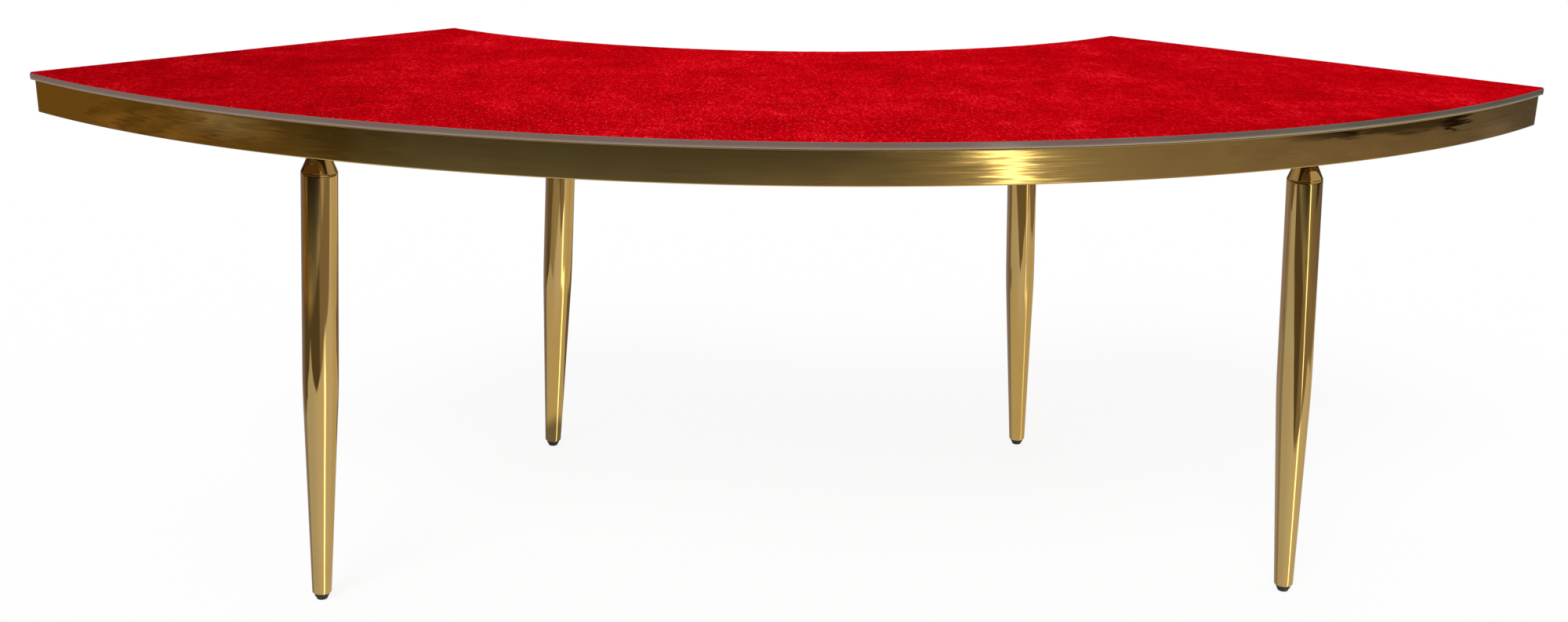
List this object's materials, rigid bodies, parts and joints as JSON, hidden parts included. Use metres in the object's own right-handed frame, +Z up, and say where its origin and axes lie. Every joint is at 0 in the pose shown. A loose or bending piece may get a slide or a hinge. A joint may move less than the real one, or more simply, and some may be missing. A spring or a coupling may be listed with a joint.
{
  "type": "curved gaming table",
  "caption": "Quarter-ring gaming table: red velvet on a glass top, gold steel apron band, round tapered gold legs with screw levelling glides.",
  "frame": {"origin": "on the floor, under the middle of the table's bounding box", "axes": "+X to the right along the table's length, +Y from the convex long edge towards the concave one, +Z up"},
  "size_m": [2.4354, 1.0866, 0.75],
  "materials": {
    "red_velvet": "short-pile red velvet, bonded to the glass, slightly mottled",
    "glass_sheet": "toughened sheet glass with polished edges that look grey",
    "clear_silicone": "clear self-adhesive bumpers",
    "gold_steel": "mirror-polished gold-coated stainless steel with faint lengthwise polishing lines",
    "painted_steel": "black powder coat",
    "zinc_steel": "bright zinc plating",
    "black_steel": "black oxide steel with a black collar",
    "black_nylon": "moulded nylon, matt"
  },
  "bodies": {
    "frame": {"outer_band": "gold_steel", "inner_band": "gold_steel", "left_end_band": "gold_steel", "right_end_band": "gold_steel", "left_rib": "painted_steel", "middle_rib": "painted_steel", "right_rib": "painted_steel", "bumper_01": "clear_silicone", "bumper_02": "clear_silicone", "bumper_03": "clear_silicone", "bumper_04": "clear_silicone", "bumper_05": "clear_silicone", "bumper_06": "clear_silicone", "bumper_07": "clear_silicone", "bumper_08": "clear_silicone", "bumper_09": "clear_silicone", "bumper_10": "clear_silicone", "bumper_11": "clear_silicone", "front_left_leg_tube": "gold_steel", "front_left_leg_cap": "gold_steel", "front_left_leg_bolt": "zinc_steel", "front_left_leg_nut": "zinc_steel", "front_left_leg_plate": "painted_steel", "front_left_foot_plug": "zinc_steel", "front_right_leg_tube": "gold_steel", "front_right_leg_cap": "gold_steel", "front_right_leg_bolt": "zinc_steel", "front_right_leg_nut": "zinc_steel", "front_right_leg_plate": "painted_steel", "front_right_foot_plug": "zinc_steel", "back_left_leg_tube": "gold_steel", "back_left_leg_cap": "gold_steel", "back_left_leg_bolt": "zinc_steel", "back_left_leg_nut": "zinc_steel", "back_left_leg_plate": "painted_steel", "back_left_foot_plug": "zinc_steel", "back_right_leg_tube": "gold_steel", "back_right_leg_cap": "gold_steel", "back_right_leg_bolt": "zinc_steel", "back_right_leg_nut": "zinc_steel", "back_right_leg_plate": "painted_steel", "back_right_foot_plug": "zinc_steel"},
    "tabletop": {"velvet_cover": "red_velvet", "glass_top": "glass_sheet"},
    "front_left_pad": {"front_left_glide_pad": "black_nylon"},
    "front_left_screw": {"front_left_glide_screw": "black_steel"},
    "front_right_pad": {"front_right_glide_pad": "black_nylon"},
    "front_right_screw": {"front_right_glide_screw": "black_steel"},
    "back_left_pad": {"back_left_glide_pad": "black_nylon"},
    "back_left_screw": {"back_left_glide_screw": "black_steel"},
    "back_right_pad": {"back_right_glide_pad": "black_nylon"},
    "back_right_screw": {"back_right_glide_screw": "black_steel"}
  },
  "joints": [
    {"name": "tabletop_lift", "type": "slide", "parent": "frame", "child": "tabletop", "axis": [0, 0, 1], "range_m": [0, 0.12]},
    {"name": "front_left_glide_travel", "type": "slide", "parent": "frame", "child": "front_left_pad", "axis": [0, 0, -1], "range_m": [0, 0.01]},
    {"name": "front_left_glide_turn", "type": "hinge", "parent": "front_left_pad", "child": "front_left_screw", "pos_m": [-0.74792, -0.35627, 0.02], "axis": [0, 0, -1], "range_deg": [0, 2400]},
    {"name": "front_right_glide_travel", "type": "slide", "parent": "frame", "child": "front_right_pad", "axis": [0, 0, -1], "range_m": [0, 0.01]},
    {"name": "front_right_glide_turn", "type": "hinge", "parent": "front_right_pad", "child": "front_right_screw", "pos_m": [0.74792, -0.35627, 0.02], "axis": [0, 0, -1], "range_deg": [0, 2400]},
    {"name": "back_left_glide_travel", "type": "slide", "parent": "frame", "child": "back_left_pad", "axis": [0, 0, -1], "range_m": [0, 0.01]},
    {"name": "back_left_glide_turn", "type": "hinge", "parent": "back_left_pad", "child": "back_left_screw", "pos_m": [-0.44437, 0.27708, 0.02], "axis": [0, 0, -1], "range_deg": [0, 2400]},
    {"name": "back_right_glide_travel", "type": "slide", "parent": "frame", "child": "back_right_pad", "axis": [0, 0, -1], "range_m": [0, 0.01]},
    {"name": "back_right_glide_turn", "type": "hinge", "parent": "back_right_pad", "child": "back_right_screw", "pos_m": [0.44437, 0.27708, 0.02], "axis": [0, 0, -1], "range_deg": [0, 2400]}
  ],
  "couplings": [
    {"joint": "front_left_glide_turn", "follows": "front_left_glide_travel", "rad_per_m": 4188.8},
    {"joint": "front_right_glide_turn", "follows": "front_right_glide_travel", "rad_per_m": 4188.8},
    {"joint": "back_left_glide_turn", "follows": "back_left_glide_travel", "rad_per_m": 4188.8},
    {"joint": "back_right_glide_turn", "follows": "back_right_glide_travel", "rad_per_m": 4188.8}
  ]
}
